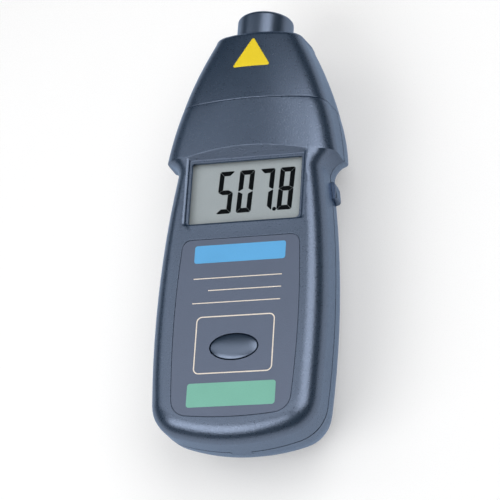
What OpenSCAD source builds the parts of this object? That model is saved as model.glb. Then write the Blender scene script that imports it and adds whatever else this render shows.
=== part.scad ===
// Handheld laser tachometer: moulded three-piece case with a display under a
// hood, a memory button on the face, a measuring trigger on the right side, an
// optical snout at the nose and a sliding battery door in the back.
// Lying on its back: +X right, +Y to the nose, +Z out of the display face.
// Lengths in millimetres; the origin is the middle of the underside.

/* [Body] */
// Length of the grip from the bottom end to the waist
grip_len = 97.2; // [95:0.1:100]
// Length of the finger scoop below each shoulder
scoop_len = 5.8; // [5:0.1:8]
// Length of the head from the shoulders to the nose cap
head_len = 19.3; // [18:0.1:24]
// Length of the nose cap
nose_len = 26.9; // [24:0.1:32]
// Width of the grip at its widest
grip_w = 60.6; // [58:0.1:64]
// Distance of the widest place from the bottom end
widest_at = 41.2; // [36:0.1:46]
// Width of the waist at the end of the grip
waist_w = 52; // [51:0.1:54]
// Width across the shoulders of the head
shoulder_w = 61.4; // [60:0.1:64]
// Width of the head at the nose cap joint
nose_root_w = 54.1; // [53:0.1:56]
// Width of the nose cap at its tip
nose_tip_w = 32; // [31:0.1:34]
// Height of the front cover above the parting plane
front_h = 14.2; // [13.8:0.1:16]
// Depth of the rear cover below the parting plane
rear_d = 25.3; // [24.5:0.1:28]
// Wall of the moulded covers
wall = 2.2; // [1.8:0.1:2.6]

/* [Edges] */
// Radius of the rounded corners of the bottom end
corner_r = 12.5; // [11.8:0.1:15]
// Radius of the bowed bottom end
end_bow_r = 68; // [60:1:90]
// Width of the rounded front edge on the grip
face_edge = 6.6; // [5.5:0.1:7.5]
// Width of the rounded front edge at the waist
waist_edge = 4.7; // [4:0.1:5]
// Width of the rounded front edge at the shoulders
shoulder_edge = 8.6; // [8:0.1:10]
// Width of the rounded front edge at the nose tip
nose_edge = 6.2; // [5:0.1:7]
// Height of the rounded front edge
edge_h = 6.4; // [5:0.1:7.5]
// Width of the rounded back edge on the grip
back_edge = 18.5; // [17.5:0.1:19.5]
// Width of the rounded back edge on the nose cap
nose_back = 11.8; // [10.5:0.1:12.6]
// Rise of the crowned head above the flat face
crown = 2.2; // [1.2:0.1:3]
// Drop of the front edge at the nose tip
nose_drop = 1; // [0.4:0.1:2]
// Lean of each side wall of the nose from the parting plane to the front edge
nose_draft = 0.8; // [0.3:0.1:1.2]
// Rise of the back at the nose tip
nose_rise = 5; // [3:0.5:8]
// Rounding of the edge round the nose tip
tip_r = 1.8; // [1:0.1:2.4]
// Bevel on both sides of each seam
seam = 0.35; // [0.2:0.05:0.5]

/* [Display] */
// Width of the visible display
view_w = 39.6; // [37:0.1:40]
// Length of the visible display
view_l = 22.7; // [20:0.1:23]
// Distance of the display from the bottom end
view_at = 77.8; // [77:0.1:79]
// Depth of the bevelled pocket in front of the display
pocket = 1; // [0.6:0.1:1.2]
// Thickness of the clear display window
window_t = 1.2; // [1:0.1:1.6]
// Thickness of the liquid crystal glass
lcd_t = 2.8; // [2.2:0.1:3]
// Height of the rubber contact strips
zebra_h = 5.6; // [5.2:0.1:6]

/* [Face] */
// Distance of the label edge from the outline of the body
label_in = 8.4; // [7.8:0.1:9.5]
// Distance of the top edge of the label from the bottom end
label_top = 71.6; // [68:0.1:73]
// Distance of the lower edge of the label from the bottom end
label_low = 7.9; // [7.3:0.1:9]
// Depth of the label recess
label_d = 0.5; // [0.4:0.05:0.7]
// Width of the memory button
mem_w = 16.6; // [14:0.1:18]
// Length of the memory button
mem_l = 8.9; // [7:0.1:10]
// Distance of the memory button from the bottom end
mem_at = 32.3; // [30:0.1:35]
// Travel of the memory button
mem_travel = 0.8; // [0.4:0.1:1]

/* [Trigger] */
// Length of the trigger along the grip
trig_len = 6.3; // [5.6:0.1:7]
// Height of the trigger below the parting plane
trig_h = 6.2; // [5.6:0.1:8]
// Distance of the trigger from the bottom end
trig_at = 89.5; // [88:0.1:90]
// How far the trigger stands out of the side
trig_out = 1.5; // [1:0.1:2.4]
// Travel of the trigger
trig_travel = 1; // [0.6:0.1:1.2]

/* [Snout] */
// Outer diameter of the lens barrel
snout_d = 19.8; // [18:0.1:20.4]
// Length of the lens barrel in front of the nose
snout_len = 9.2; // [8:0.1:14]
// Depth of the optical axis below the face
snout_drop = 11.7; // [11.4:0.1:12.4]
// Diameter of the laser module
laser_d = 5.6; // [5:0.1:5.8]
// Diameter of the receiving lens
lens_d = 7; // [6:0.1:7.2]

/* [Battery] */
// Width of the battery
bat_w = 26.5; // [25:0.1:27]
// Thickness of the battery
bat_t = 17.5; // [16:0.1:17.7]
// Length of the battery without its terminals
bat_l = 46.4; // [44:0.1:47]
// Rounding of the long battery edges
bat_r = 2.2; // [1.5:0.1:3]

/* [Board] */
// Thickness of the circuit board
pcb_t = 1.6; // [1.2:0.1:1.8]
// Width of the circuit board
pcb_w = 42; // [40:0.5:43]
// Shank diameter of the case screws
screw_d = 2.6; // [2.2:0.1:3]
// Length of the case screws under the head
screw_l = 16; // [14:0.5:17]

/* [Hidden] */
gap = 0.2;
slip = 0.1;
y0 = -(grip_len + scoop_len + head_len + nose_len + snout_len) / 2;
y_wide = y0 + widest_at;
y_waist = y0 + grip_len;
y_shoulder = y_waist + scoop_len;
y_split = y_shoulder + head_len;
y_tip = y_split + nose_len;
y_rim = y_tip + snout_len;
z_part = rear_d;
z_front = rear_d + front_h;
z_axis = z_front - snout_drop;

// Grip outline: bowed end, corner and bowed side, each tangent to the next
side_dx = (grip_w - waist_w) / 2;
side_dy = grip_len - widest_at;
side_r = (side_dx * side_dx + side_dy * side_dy) / (2 * side_dx);
side_c = [grip_w / 2 - side_r, y_wide];
end_c = [0, y0 + end_bow_r];
corner_c = meet(end_c, end_bow_r - corner_r, side_c, side_r - corner_r);
a_end = atan2(corner_c[1] - end_c[1], corner_c[0]);
a_side = atan2(corner_c[1] - side_c[1], corner_c[0] - side_c[0]);
a_waist = asin(side_dy / side_r);

// The same outline at the rounded back edge, with a tighter corner
back_r = 2;
back_c = meet(end_c, end_bow_r - back_edge - back_r, side_c, side_r - back_edge - back_r);
b_end = atan2(back_c[1] - end_c[1], back_c[0]);
b_side = atan2(back_c[1] - side_c[1], back_c[0] - side_c[0]);

// Scoop below the shoulder
cove_dx = (shoulder_w - waist_w) / 2;
cove_r = (cove_dx * cove_dx + scoop_len * scoop_len) / (2 * cove_dx);
cove_a = asin(scoop_len / cove_r);
scoop_rake = 0.33;

// Display
view_y0 = y0 + view_at;
view_y1 = view_y0 + view_l;
view_y = (view_y0 + view_y1) / 2;
hood_y = view_y1 + 1;
pocket_side = 1.8;
pocket_low = 0.6;
rebate = 1.2;
z_in = z_front - wall;
z_window = z_in - window_t;
z_lcd1 = z_window - slip;
z_lcd0 = z_lcd1 - lcd_t;
z_pcb1 = z_lcd0 - zebra_h;
z_pcb0 = z_pcb1 - pcb_t;
lcd_w = view_w + 2.4;
lcd_l = view_l + 4.6;
frame_w = lcd_w + 3;
frame_l = lcd_l + 2.6;
zebra_w = 2.2;
zebra_y = lcd_l / 2 - 1.8;

// Label
label_t = label_d - 0.15;
label_r = 3.2;
label_low_r = 6;
label_bow = 145;
label_y1 = y0 + label_top;
z_recess = z_front - label_d;

// Memory button and its switch
mem_y = y0 + mem_at;
mem_flange = 1.2;
mem_gap = 0.35;
mem_rise = 1.1;
mem_stem_r = 2;
mem_flange_t = 1.7;
z_flange = z_in - 0.3 - mem_flange_t;
sw_h = 3.6;
sw_w = 6;
plunger_r = 1.7;
z_mem_tip = z_pcb1 + sw_h + 1.5;

// Trigger and its switch
trig_y0 = y0 + trig_at;
trig_y1 = trig_y0 + trig_len;
trig_y = (trig_y0 + trig_y1) / 2;
trig_z = z_part - trig_h / 2 - gap;
trig_lip = 1.5;
trig_notch = 5;
flange_x1 = waist_w / 2 - wall - 1.5;
flange_x0 = flange_x1 - 1.8;
tsw_x1 = flange_x0 - 2;
tsw_x0 = tsw_x1 - 5;

// Battery bay, open to the back
bat_y0 = y0 + 0.8 * back_edge + 0.3;
bay_y0 = bat_y0 + 4.5;
bay_wall = 1.5;
bat_y1 = bat_y0 + bat_l;
bat_z0 = wall + 1.3;
bat_z1 = bat_z0 + bat_t;
bat_z = (bat_z0 + bat_z1) / 2;
term_h = 2;
term_x = 6.35;
term_in_r = 2.8;
term_out_r = 4;
snap_y0 = bat_y1 + slip;
snap_t = 4.2;
snap_w = 24;
snap_h = 12;
bay_x = bat_w / 2 + 0.5;
bay_y1 = snap_y0 + snap_t + 4;
bay_top = bat_z1 + 0.4;
door_x = bay_x + bay_wall + 0.4;
door_y1 = bay_y1 - 0.6;
bay_z0 = back_in(door_x, door_y1) + 0.5;
door_z = 10;
tongue_x = 7.5;
tongue_w = 6;
tongue_t = 1;
grip_ribs = 5;
rib_pitch = 2.6;

// Circuit board
pcb_y0 = y0 + 26;
pcb_y1 = view_y1 + 8.8;
post_y0 = pcb_y0 + 3;
post_y1 = pcb_y1 - 2.7;
post_x = pcb_w / 2 - 3.4;
post_r = 2.3;
post_bore = 0.9;
post_head_r = 2;
post_head_t = 1.4;
post_screw_l = 5;
chip_w = 14;
chip_t = 2;
chip_y0 = view_y0 - 2;
xtal_x = -11.4;
xtal_r = 1.8;
xtal_y0 = view_y0 + 2;
xtal_y1 = xtal_y0 + 7.4;
xtal_h = 3.6;
cap_r = 2.5;
cap_h = 7;
cap_x = 3.5;
cap_y = view_y0 + 17;

// Case screws
boss_r = 3.9;
head_r = screw_d / 2 + 1.3;
well_r = head_r + 0.35;
boss_x0 = door_x + gap + well_r + 0.8;
boss_y0 = pcb_y0 - boss_r - 1.2;
boss_x1 = 14.8;
boss_y1 = y_split - 3.4 - boss_r;
z_well = 13.5;
head_t = 1.8;
seat_t = 2;
pilot_r = screw_d / 2 - 0.25;
tab_w = 7;
tab_d = 2.4;

// Snout
snout_r = snout_d / 2;
spigot_r = snout_r - 1.4;
bore_r = snout_r - 2.4;
spigot_l = 11;
nut_l = 3;
block_r = bore_r - slip;
block_y0 = y_tip - 12;
block_y1 = y_tip + 3.5;
rx_z = block_r - lens_d / 2 - 0.6;
laser_z = -(block_r - laser_d / 2 - 0.5);
rx_r = lens_d / 2 + 0.05;
laser_r = laser_d / 2 + 0.05;
lip_l = 3;
lip_t = 1.4;
rim_lip = 1.6;
filter_t = 1.4;
rx_shelf = 5;
laser_stop = 1.5;
laser_hole_r = 1.5;
diode_r = 2.5;
sense_w = 13;
sense_h = 14;
sense_t = 1.2;
cable_w = 8;
cable_t = 0.6;
cable_lap = 4;

dark_abs = [0.27, 0.32, 0.4];
black = [0.1, 0.1, 0.11];

// Sub-part to draw

function mix(a, b, f) = a + (b - a) * f;
function clamp01(f) = min(1, max(0, f));
function ease(f) = clamp01(f) * clamp01(f) * (3 - 2 * clamp01(f));
function dir(a) = [cos(a), sin(a)];

// Place at distance a from p and b from q, on the left of the way from p to q
function meet(p, a, q, b) =
    let (g = norm(q - p), u = (q - p) / g, l = (a * a - b * b + g * g) / (2 * g))
    p + l * u + sqrt(a * a - l * l) * [-u[1], u[0]];

// Half width of the plan outline at height y
function quad(y, a, b, c) =
    a[1] * (y - b[0]) * (y - c[0]) / ((a[0] - b[0]) * (a[0] - c[0])) +
    b[1] * (y - a[0]) * (y - c[0]) / ((b[0] - a[0]) * (b[0] - c[0])) +
    c[1] * (y - a[0]) * (y - b[0]) / ((c[0] - a[0]) * (c[0] - b[0]));
function side_half(y) = side_c[0] + sqrt(side_r * side_r - pow(y - y_wide, 2));
function cove_half(y) =
    waist_w / 2 + cove_r - sqrt(cove_r * cove_r - pow(y - y_waist, 2));
function head_half(y) =
    quad(y, [y_shoulder, shoulder_w / 2], [y_split, nose_root_w / 2], [y_tip, nose_tip_w / 2]);
function half_w(y) =
    y <= y_waist ? side_half(y) : y < y_shoulder ? cove_half(y) : head_half(y);
function thin_w(y, t) = t == 0 ? half_w(y) : min(half_w(y), half_w(y - t)) - t;

// Width of the rounded front edge and of the rounded back edge
function grip_edge(y) =
    mix(face_edge, waist_edge, pow(clamp01((y - y_wide) / side_dy), 2));
function head_f(y) = clamp01((y - y_shoulder) / (y_tip - y_shoulder));
function draft(y) = nose_draft * clamp01((y - y_shoulder) / head_len);
function face_half(y) =
    y < y_shoulder
    ? mix(waist_w / 2 - waist_edge, shoulder_w / 2 - shoulder_edge, (y - y_waist) / scoop_len)
    : head_half(y) - draft(y) - mix(shoulder_edge, nose_edge, head_f(y));
function back_half(y) = quad(
    y, [y_waist, waist_w / 2 - back_edge], [y_split, nose_root_w / 2 - nose_back],
    [y_tip, nose_tip_w / 2 - nose_back]
);

// Height of the face, crown of the head and height of the back
function nose_f(y) = clamp01((y - y_split) / nose_len);
function face_z(y) = z_front - nose_drop * pow(nose_f(y), 1.5);
function crown_f(y, t) =
    t == 0 ? ease((y - view_y0) / (view_y1 - view_y0)) : ease((y - view_y1 - 6) / 6);
function crown_z(y, t) = crown * crown_f(y, t) * (1 - 0.4 * nose_f(y));
function back_z(y) = nose_rise * pow(clamp01((y - y_waist) / (y_tip - y_waist)), 1.4);

// Height of the inside of the back, x from the middle of the grip
function back_in(x, y) =
    let (c = clamp01((x - half_w(y) + back_edge) / (back_edge - wall)))
    z_part - (z_part - wall) * sqrt(1 - c * c);

// A station is [outline, face edge, back edge, y of the section], inset by t
function arc_station(c, r, a, back, t) =
    let (o = c + (r - t) * dir(a), e = max(grip_edge((c + r * dir(a))[1]), t + 1))
    [o, c + (r - e) * dir(a), back, o[1], t];
function head_station(y, t) =
    let (w = thin_w(y, t))
    [[w, y], [min(face_half(y), w - 0.8), y], [min(back_half(y), w - 0.8), y], y, t];
function grip_stations(t, n) = concat(
    [for (k = [0:n - 1]) arc_station(end_c, end_bow_r, mix(-90, a_end, k / n),
        end_c + (end_bow_r - back_edge) * dir(mix(-90, b_end, k / n)), t)],
    [for (k = [0:n]) arc_station(corner_c, corner_r, mix(a_end, a_side, k / n),
        back_c + back_r * dir(mix(b_end, b_side, k / n)), t)],
    [for (k = [1:n + 2]) arc_station(side_c, side_r, mix(a_side, a_waist, k / (n + 2)),
        side_c + (side_r - back_edge) * dir(mix(b_side, a_waist, k / (n + 2))), t)]
);
function scoop_stations(t, n) =
    [for (k = [1:n]) head_station(y_waist + cove_r * sin(cove_a * k / n) - (k == n ? 0.01 : 0), t)];
function head_stations(t, n, y1) =
    [for (k = [0:n]) head_station(mix(y_shoulder + 0.5, y1, k / n), t)];

// Section points of one station, right half, from the outline to the middle; the
// finger scoops lean to the nose with depth in the rear cover
function front_half(s, base, k, m) =
    let (
        t = s[4], y = s[3], zf = face_z(y) - t, c = crown_z(y, t),
        h = max(edge_h - t, 1), q = 90 - 14 * crown_f(y, t) * (t == 0 ? 1 : 0)
    )
    concat(
        t == 0
        ? [
            [s[0][0] - seam * (s[0][0] - s[1][0]) / max(norm(s[0] - s[1]), 0.1),
                s[0][1] - seam * (s[0][1] - s[1][1]) / max(norm(s[0] - s[1]), 0.1), base],
            [s[0][0], s[0][1], base + seam]
        ]
        : [[s[0][0], s[0][1], base]],
        [for (i = [0:k]) let (
            a = q * i / k, f = (1 - cos(a)) / (1 - cos(q)),
            p = mix(s[0] - [draft(y), 0], s[1], f)
        ) [p[0], p[1], zf - h + h * sin(a) / sin(q)]],
        [for (i = [1:m]) let (f = 1 - i / m)
            [s[1][0] * f, s[1][1], zf + c * (1 - f * f)]]
    );
function rake(y) = y <= y_waist ? 0 : scoop_rake * (1 - clamp01((y - y_shoulder) / head_len));
function raked(p, y) = [p[0], p[1] + rake(y) * max(0, z_part - p[2]), p[2]];
function rear_half(s, base, k) =
    let (t = s[4], y = s[3], zb = back_z(y) + t)
    concat(
        t == 0
        ? [
            [s[0][0] - seam * (s[0][0] - s[2][0]) / max(norm(s[0] - s[2]), 0.1),
                s[0][1] - seam * (s[0][1] - s[2][1]) / max(norm(s[0] - s[2]), 0.1), base],
        ]
        : [[s[0][0], s[0][1], base]],
        [for (i = [0:k]) let (a = 90 * i / k, p = mix(s[0], s[2], 1 - cos(a)))
            raked([p[0], p[1], mix(z_part - (t == 0 ? seam : 0), zb, sin(a))], y)],
        [raked([0, s[2][1], zb], y)]
    );
function flip(p) = [-p[0], p[1], p[2]];
function loop(h) = concat(h, [for (i = [len(h) - 2:-1:0]) flip(h[i])]);
function ring(f, r) = concat(
    f, [for (i = [len(f) - 2:-1:0]) flip(f[i])],
    [for (i = [1:len(r) - 1]) flip(r[i])], [for (i = [len(r) - 2:-1:1]) r[i]]
);

// Solid skinned over the sections; a first section without area is closed
function same(p, i) = min([for (k = [0:i]) if (norm(p[k] - p[i]) < 0.0001) k]);
function tri_ok(f) = f[0] != f[1] && f[1] != f[2] && f[0] != f[2];
module skin(rings, turn, closed) {
    n = len(rings[0]);
    first = [for (i = [0:n - 1]) closed ? same(rings[0], i) : i];
    function id(j, i) = j == 0 ? first[i % n] : j * n + i % n;
    last = (len(rings) - 1) * n;
    sides = [
        for (j = [0:len(rings) - 2], i = [0:n - 1], h = [0:1])
            let (f = h == 0
                ? [id(j, i), id(j, i + 1), id(j + 1, i + 1)]
                : [id(j, i), id(j + 1, i + 1), id(j + 1, i)])
            if (tri_ok(f)) f
    ];
    tail = [for (i = [1:n - 2]) [last, last + i, last + i + 1]];
    nose = closed ? [] : [for (i = [1:n - 2]) [0, i + 1, i]];
    faces = concat(sides, tail, nose);
    polyhedron(
        points = [for (r = rings) each r],
        faces = [for (f = faces) turn ? [f[0], f[2], f[1]] : f]
    );
}

// Outer form and cavity of the two covers
module front_form() {
    st = concat(grip_stations(0, 9), scoop_stations(0, 8), head_stations(0, 9, y_split - seam));
    end = head_station(y_split, 0);
    tuck = [end[0] - [seam, 0], end[1] - [seam, 0], end[2], y_split, 0];
    skin([for (s = concat(st, [tuck])) loop(front_half(s, z_part, 7, 5))], false, true);
}
module front_cavity() {
    st = concat(grip_stations(wall, 6), scoop_stations(wall, 4), head_stations(wall, 6, y_split));
    end = head_station(y_split, wall);
    over = [end[0] + [0, 2], end[1] + [0, 2], end[2] + [0, 2], y_split, wall];
    skin([for (s = concat(st, [over])) loop(front_half(s, z_part - 1, 4, 2))], false, true);
}
module rear_form() {
    st = concat(grip_stations(0, 9), scoop_stations(0, 8), head_stations(0, 9, y_split - seam));
    end = head_station(y_split, 0);
    tuck = [end[0] - [seam, 0], end[1], end[2] - [seam, 0], y_split, 0];
    skin([for (s = concat(st, [tuck])) loop(rear_half(s, z_part, 9))], true, true);
}
module rear_cavity() {
    st = concat(grip_stations(wall, 6), scoop_stations(wall, 4), head_stations(wall, 6, y_split));
    end = head_station(y_split, wall);
    over = [end[0] + [0, 2], end[1] + [0, 2], end[2] + [0, 2], y_split, wall];
    skin([for (s = concat(st, [over])) loop(rear_half(s, z_part + 1, 6))], true, true);
}

// Closed section of the nose, inset by t all round
function nose_ring(y, t, k, m, r) =
    let (
        w = head_half(y) - t, e = min(face_half(y), w - 0.8), b = min(back_half(y), w - 0.8),
        zf = face_z(y) - t, zb = back_z(y) + t, c = crown_z(y, 0),
        h = max(edge_h - t, 1), q = 76,
        f = concat(
            [[w, y, z_part]],
            [for (i = [0:k]) let (a = q * i / k)
                [mix(w - draft(y), e, (1 - cos(a)) / (1 - cos(q))), y, zf - h + h * sin(a) / sin(q)]],
            [for (i = [1:m]) let (g = 1 - i / m) [e * g, y, zf + c * (1 - g * g)]]
        ),
        g = concat(
            [for (i = [0:r]) let (a = 90 * i / r)
                [mix(w, b, 1 - cos(a)), y, mix(z_part, zb, sin(a))]],
            [[0, y, zb]]
        )
    )
    ring(f, g);
function at_y(ring, y) = [for (p = ring) [p[0], y, p[2]]];

module box(x, y, z) {
    translate([x[0], y[0], z[0]])
        cube([x[1] - x[0], y[1] - y[0], z[1] - z[0]]);
}
// Turned solid about the optical axis, profile in [radius, y]
module turned(profile) {
    translate([0, 0, z_axis])
        rotate([-90, 0, 0])
            rotate_extrude()
                polygon(profile);
}
module along_y(r, y, x = 0, z = 0) {
    translate([x, y[0], z_axis + z])
        rotate([-90, 0, 0])
            cylinder(r = r, h = y[1] - y[0]);
}
module post(r, x, y, z) {
    translate([x, y, z[0]])
        cylinder(r = r, h = z[1] - z[0]);
}
function oval(a, b, n = 64) = [for (i = [0:n - 1]) [a * cos(360 * i / n), b * sin(360 * i / n)]];

// Label outline: bowed sides like the body, straight top and slightly bowed lower edge
function label_points(d) =
    let (
        more = d - label_in,
        bow = label_bow - more,
        low_r = label_low_r - more,
        c = [0, y0 + label_low + label_bow],
        p = meet(c, bow - low_r, side_c, side_r - d - low_r),
        a0 = atan2(p[1] - c[1], p[0]),
        a1 = atan2(p[1] - side_c[1], p[0] - side_c[0]),
        y1 = label_y1 - label_r,
        x = side_half(y1) - d - label_r + more,
        right = concat(
            [for (k = [0:8]) c + bow * dir(mix(-90, a0, k / 8))],
            [for (k = [1:8]) p + low_r * dir(mix(a0, a1, k / 8))],
            [for (k = [1:10]) let (y = mix(p[1] + low_r * sin(a1), y1, k / 10))
                [side_half(y) - d, y]],
            [for (k = [1:6]) [x, y1] + (label_r - more) * dir(15 * k)]
        )
    )
    concat(right, [for (i = [len(right) - 1:-1:1]) [-right[i][0], right[i][1]]]);

// Boss places for the case screws and the board screws
boss_at = [[boss_x0, boss_y0], [-boss_x0, boss_y0], [boss_x1, boss_y1], [-boss_x1, boss_y1]];
post_at = [[post_x, post_y0], [-post_x, post_y0], [post_x, post_y1], [-post_x, post_y1]];

// Rounded pocket in front of the display, its upper end sloping up to the hood
function pocket_ring(f, z) =
    let (
        x = view_w / 2 + 0.7 + pocket_side * f,
        yl = view_y0 - 0.3 - pocket_low * f,
        yh = hood_y + z - z_front + pocket,
        r = 1.2
    )
    concat(
        [for (k = [0:4]) [r - x - r * cos(22.5 * k), yl + r - r * sin(22.5 * k), z]],
        [for (k = [0:4]) [x - r + r * sin(22.5 * k), yl + r - r * cos(22.5 * k), z]],
        [[x, yh, z], [-x, yh, z]]
    );
module display_pocket() {
    skin(concat(
        [for (k = [0:5]) pocket_ring(1 - cos(18 * k), z_front - pocket + pocket * sin(18 * k))],
        [pocket_ring(1, z_front + crown + 2)]
    ), true, false);
}

module front_cover() {
    color(dark_abs) {
        difference() {
            union() {
                difference() {
                    front_form();
                    front_cavity();
                }
                for (p = boss_at)
                    post(boss_r, p[0], p[1], [z_part, z_in + 0.6]);
                for (p = post_at)
                    post(post_r, p[0], p[1], [z_pcb1, z_in + 0.6]);
                end_tab(0);
            }
            display_pocket();
            box([-frame_w / 2 - slip, frame_w / 2 + slip],
                [view_y - frame_l / 2 - slip, view_y + frame_l / 2 + slip], [z_part, z_lcd1 + slip]);
            box([-view_w / 2, view_w / 2], [view_y0, view_y1], [z_in - 5, z_front]);
            translate([0, 0, z_recess])
                linear_extrude(height = label_d + 1)
                    polygon(label_points(label_in));
            translate([0, mem_y, z_in - 1])
                linear_extrude(height = wall + 2)
                    polygon(oval(mem_w / 2 + mem_gap, mem_l / 2 + mem_gap));
            for (p = boss_at)
                post(pilot_r, p[0], p[1], [z_part - 1, z_front - wall - 1]);
            for (p = post_at)
                post(post_bore, p[0], p[1], [z_pcb1 - 1, z_front - wall]);
        }
    }
}

// Tongue at the bottom end that keys the two covers
module end_tab(grow) {
    intersection() {
        difference() {
            translate([0, end_c[1], z_part - tab_d - grow])
                cylinder(r = end_bow_r - (grow > 0 ? -1 : 0.1), h = tab_d + grow + 0.5);
            translate([0, end_c[1], z_part - tab_d - 1])
                cylinder(r = end_bow_r - wall - grow, h = tab_d + 3);
        }
        box([-tab_w / 2 - grow, tab_w / 2 + grow], [y0 - 2, y0 + 8], [0, z_front]);
    }
}

// Plain inner copy of the rear form that trims what is built up inside it
module rear_core() {
    t = wall / 4;
    st = concat(grip_stations(t, 4), scoop_stations(t, 2), head_stations(t, 4, y_split - seam));
    skin([for (s = st) loop(rear_half(s, z_part, 5))], true, true);
}

// Space taken by the battery door, grown for the opening in the cover
module door_space(grow) {
    box([-door_x - grow, door_x + grow], [y0 - 5, door_y1 + grow], [-1, door_z + grow]);
}

// Walls and roof of the battery bay, with a rail along each side of the door
module battery_bay() {
    rail_x = door_x + gap + 1.5;
    difference() {
        union() {
            box([-bay_x - bay_wall, bay_x + bay_wall],
                [bay_y0, bay_y1 + bay_wall], [bay_z0, bay_top + bay_wall]);
            box([-rail_x, rail_x], [bay_y0, bay_y1 + bay_wall], [bay_z0, bay_z0 + 2.2]);
            for (s = [-1, 1])
                box([s * (door_x + gap + 0.8) - 0.7, s * (door_x + gap + 0.8) + 0.7],
                    [bay_y0, bay_y1 + bay_wall], [wall / 2, bay_z0 + 0.5]);
            box([-rail_x, rail_x], [bay_y1, bay_y1 + bay_wall], [wall / 2, bay_z0 + 0.5]);
        }
        box([-bay_x, bay_x], [bay_y0 - 1, bay_y1], [0, bay_top]);
    }
}

module rear_cover() {
    color(dark_abs) {
        difference() {
            union() {
                difference() {
                    rear_form();
                    rear_cavity();
                    door_space(gap);
                }
                intersection() {
                    rear_core();
                    union() {
                        battery_bay();
                        for (p = boss_at)
                            post(boss_r, p[0], p[1], [0, z_part]);
                    }
                }
            }
            for (p = boss_at) {
                post(well_r, p[0], p[1], [-1, z_well]);
                post(screw_d / 2 + 0.15, p[0], p[1], [0, z_part + 1]);
            }
            end_tab(gap);
            box([flange_x0, grip_w], [trig_y0 - gap, trig_y1 + gap],
                [z_part - trig_h - 2 * gap, z_part + 1]);
            box([-4, 4], [bay_y1 - 1, bay_y1 + bay_wall + 1], [bay_top - 5, bay_top]);
            for (s = [-1, 1])
                box([s * tongue_x - tongue_w / 2 - gap, s * tongue_x + tongue_w / 2 + gap],
                    [bay_y1 - 1, bay_y1 + bay_wall + 1], [wall, wall + tongue_t + gap]);
        }
    }
}

module battery_door() {
    color(dark_abs) {
        difference() {
            union() {
                intersection() {
                    difference() {
                        skin([for (s = grip_stations(0, 9)) loop(rear_half(s, z_part, 9))], true, true);
                        skin([for (s = grip_stations(wall, 6)) loop(rear_half(s, z_part, 6))], true, true);
                    }
                    door_space(0);
                }
                for (s = [-1, 1]) {
                    box([s * tongue_x - tongue_w / 2, s * tongue_x + tongue_w / 2],
                        [door_y1 - 4, door_y1 + 2], [wall + slip, wall + tongue_t]);
                    box([s * tongue_x - tongue_w / 2, s * tongue_x + tongue_w / 2],
                        [door_y1 - 4, door_y1 - 0.5], [wall - 0.5, wall + 0.5]);
                }
            }
            for (i = [0:grip_ribs - 1])
                translate([0, door_y1 - 9 - i * rib_pitch, -0.5])
                    box([-7, 7], [-0.6, 0.6], [0, 1]);
        }
    }
}

module nose_cap() {
    web = 1.8;
    ys = [for (k = [0:10]) mix(y_split + seam, y_tip - tip_r, k / 10)];
    outer = concat(
        [nose_ring(y_split, seam, 7, 5, 9)],
        [for (y = ys) nose_ring(y, 0, 7, 5, 9)],
        [for (k = [1:4]) let (a = 22.5 * k)
            at_y(nose_ring(y_tip - tip_r, tip_r * (1 - cos(a)), 7, 5, 9), y_tip - tip_r + tip_r * sin(a))]
    );
    inner = [for (k = [0:5]) nose_ring(mix(y_split + web, y_tip - wall, k / 5), wall, 4, 2, 5)];
    lip = nose_ring(y_split, wall + gap, 4, 2, 5);
    throat = nose_ring(y_split, wall + gap + lip_t, 4, 2, 5);
    color(dark_abs) {
        difference() {
            union() {
                skin(outer, false, false);
                skin([at_y(lip, y_split - lip_l), at_y(lip, y_split + 1)], false, false);
            }
            skin(inner, false, false);
            skin([at_y(throat, y_split - lip_l - 1), at_y(throat, y_split + web + 1)], false, false);
            along_y(spigot_r + 0.05, [y_tip - wall - 2, y_tip + 2]);
        }
    }
}

module face_label() {
    color([0.3, 0.33, 0.38])
        difference() {
            translate([0, 0, z_recess])
                linear_extrude(height = label_t)
                    polygon(label_points(label_in + 0.2));
            translate([0, mem_y, z_recess - 1])
                linear_extrude(height = 3)
                    polygon(oval(mem_w / 2 + mem_gap, mem_l / 2 + mem_gap));
        }
}

module display_window() {
    color([0.8, 0.85, 0.85])
        box([-view_w / 2 - rebate, view_w / 2 + rebate],
            [view_y0 - rebate, view_y1 + rebate], [z_window, z_in]);
}

function mem_ring(f, z) = [for (p = oval(mem_w / 2 * f, mem_l / 2 * f, 48)) [p[0], p[1] + mem_y, z]];
module memory_button() {
    z_edge = z_front - 0.45;
    color(dark_abs) {
        skin(concat(
            [mem_ring(1, z_flange)],
            [for (k = [0:6]) mem_ring(cos(14 * k), z_edge + mem_rise * sin(14 * k) / sin(84))]
        ), true, false);
        translate([0, mem_y, z_flange])
            linear_extrude(height = mem_flange_t)
                polygon(oval(mem_w / 2 + mem_flange, mem_l / 2 + mem_flange));
        post(mem_stem_r, 0, mem_y, [z_mem_tip, z_flange + 1]);
    }
}

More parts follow.
